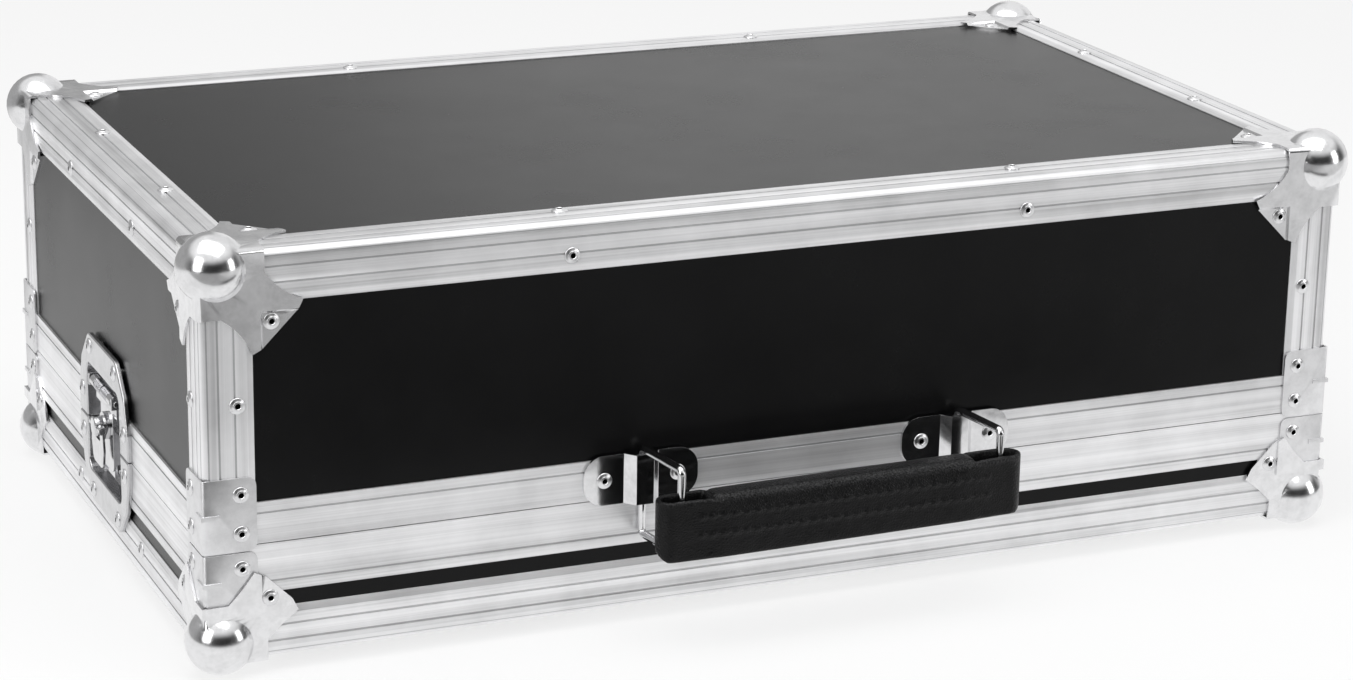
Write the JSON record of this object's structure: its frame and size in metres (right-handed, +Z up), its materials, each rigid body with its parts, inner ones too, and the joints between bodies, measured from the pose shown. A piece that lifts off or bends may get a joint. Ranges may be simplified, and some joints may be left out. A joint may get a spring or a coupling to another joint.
{
  "type": "flight case",
  "caption": "Rectangular flight case of black panels in riveted aluminium profiles, with ball corners, butterfly latches and a leather carrying handle.",
  "frame": {"origin": "on the floor under the middle of the whole object, handle included, with the handle as in the picture", "axes": "+Z up, +X along the long sides, front with the handle towards -Y"},
  "size_m": [0.7386, 0.4852, 0.2556],
  "materials": {
    "panel_laminate": "black laminated plywood with a very fine texture",
    "profile_aluminium": "bright extruded, with fine lengthwise lines",
    "brace_aluminium": "bright pressed sheet",
    "rivet_aluminium": "satin",
    "corner_steel": "bright plated pressing",
    "bright_steel": "bright plated",
    "spring_steel": "bright spring wire",
    "leather": "black, stitched in two lines",
    "foam": "dark grey foam"
  },
  "bodies": {
    "base": {"base_floor_panel": "panel_laminate", "base_front_panel": "panel_laminate", "base_back_panel": "panel_laminate", "base_left_panel": "panel_laminate", "base_right_panel": "panel_laminate", "base_front_edge": "profile_aluminium", "base_back_edge": "profile_aluminium", "base_left_edge": "profile_aluminium", "base_right_edge": "profile_aluminium", "base_front_closing": "profile_aluminium", "base_back_closing": "profile_aluminium", "base_left_closing": "profile_aluminium", "base_right_closing": "profile_aluminium", "base_uprights": "profile_aluminium", "base_braces": "brace_aluminium", "base_corners": "corner_steel", "base_foam": "foam", "base_rivets": "rivet_aluminium", "left_latch_lower_dish": "bright_steel", "right_latch_lower_dish": "bright_steel"},
    "lid": {"lid_top_panel": "panel_laminate", "lid_front_panel": "panel_laminate", "lid_back_panel": "panel_laminate", "lid_left_panel": "panel_laminate", "lid_right_panel": "panel_laminate", "lid_front_edge": "profile_aluminium", "lid_back_edge": "profile_aluminium", "lid_left_edge": "profile_aluminium", "lid_right_edge": "profile_aluminium", "lid_front_closing": "profile_aluminium", "lid_back_closing": "profile_aluminium", "lid_left_closing": "profile_aluminium", "lid_right_closing": "profile_aluminium", "lid_uprights": "profile_aluminium", "lid_braces": "brace_aluminium", "lid_corners": "corner_steel", "lid_foam": "foam", "lid_rivets": "rivet_aluminium", "left_bracket": "bright_steel", "right_bracket": "bright_steel", "left_latch_upper_dish": "bright_steel", "left_latch_pin": "bright_steel", "left_latch_spring": "spring_steel", "right_latch_upper_dish": "bright_steel", "right_latch_pin": "bright_steel", "right_latch_spring": "spring_steel"},
    "left_ring": {"left_ring": "bright_steel"},
    "right_ring": {"right_ring": "bright_steel"},
    "grip": {"grip": "leather"},
    "left_arm": {"left_latch_arm": "bright_steel"},
    "left_turret": {"left_latch_turret": "bright_steel"},
    "left_wing": {"left_latch_wing": "bright_steel"},
    "left_hook": {"left_latch_hook": "bright_steel"},
    "right_arm": {"right_latch_arm": "bright_steel"},
    "right_turret": {"right_latch_turret": "bright_steel"},
    "right_wing": {"right_latch_wing": "bright_steel"},
    "right_hook": {"right_latch_hook": "bright_steel"}
  },
  "joints": [
    {"name": "lid_lift", "type": "slide", "parent": "base", "child": "lid", "axis": [0, 0, 1], "range_m": [0, 0.26]},
    {"name": "left_ring_swing", "type": "hinge", "parent": "lid", "child": "left_ring", "pos_m": [-0.1013, -0.19131, 0.09], "axis": [0, 0, 1], "range_deg": [-72.5, 57.5]},
    {"name": "right_ring_swing", "type": "hinge", "parent": "lid", "child": "right_ring", "pos_m": [0.1013, -0.19131, 0.09], "axis": [0, 0, 1], "range_deg": [-72.5, 57.5]},
    {"name": "grip_swing", "type": "hinge", "parent": "left_ring", "child": "grip", "pos_m": [-0.09553, -0.23514, 0.09], "axis": [0, 0, 1], "range_deg": [-57.5, 72.5]},
    {"name": "left_arm_swing", "type": "hinge", "parent": "lid", "child": "left_arm", "pos_m": [-0.361, 0.02279, 0.1058], "axis": [0, 1, 0], "range_deg": [0, 110], "stiffness_Nm_per_rad": 0.03, "springref_deg": -28.65},
    {"name": "left_turret_turn", "type": "hinge", "parent": "left_arm", "child": "left_turret", "pos_m": [-0.3606, 0.02279, 0.0843], "axis": [-1, 0, 0], "range_deg": [0, 180]},
    {"name": "left_hook_slide", "type": "slide", "parent": "left_arm", "child": "left_hook", "axis": [0, 0, -1], "range_m": [0, 0.005]},
    {"name": "left_wing_fold", "type": "hinge", "parent": "left_turret", "child": "left_wing", "pos_m": [-0.3659, 0.02279, 0.0843], "axis": [0, 1, 0], "range_deg": [0, 90]},
    {"name": "right_arm_swing", "type": "hinge", "parent": "lid", "child": "right_arm", "pos_m": [0.361, 0.02279, 0.1058], "axis": [0, -1, 0], "range_deg": [0, 110], "stiffness_Nm_per_rad": 0.03, "springref_deg": -28.65},
    {"name": "right_turret_turn", "type": "hinge", "parent": "right_arm", "child": "right_turret", "pos_m": [0.3606, 0.02279, 0.0843], "axis": [1, 0, 0], "range_deg": [0, 180]},
    {"name": "right_hook_slide", "type": "slide", "parent": "right_arm", "child": "right_hook", "axis": [0, 0, -1], "range_m": [0, 0.005]},
    {"name": "right_wing_fold", "type": "hinge", "parent": "right_turret", "child": "right_wing", "pos_m": [0.3659, 0.02279, 0.0843], "axis": [0, -1, 0], "range_deg": [0, 90]}
  ],
  "couplings": [
    {"joint": "right_ring_swing", "follows": "left_ring_swing", "ratio": 1},
    {"joint": "grip_swing", "follows": "left_ring_swing", "ratio": -1},
    {"joint": "left_hook_slide", "follows": "left_turret_turn", "m_per_rad": 0.00159},
    {"joint": "right_hook_slide", "follows": "right_turret_turn", "m_per_rad": 0.00159}
  ]
}
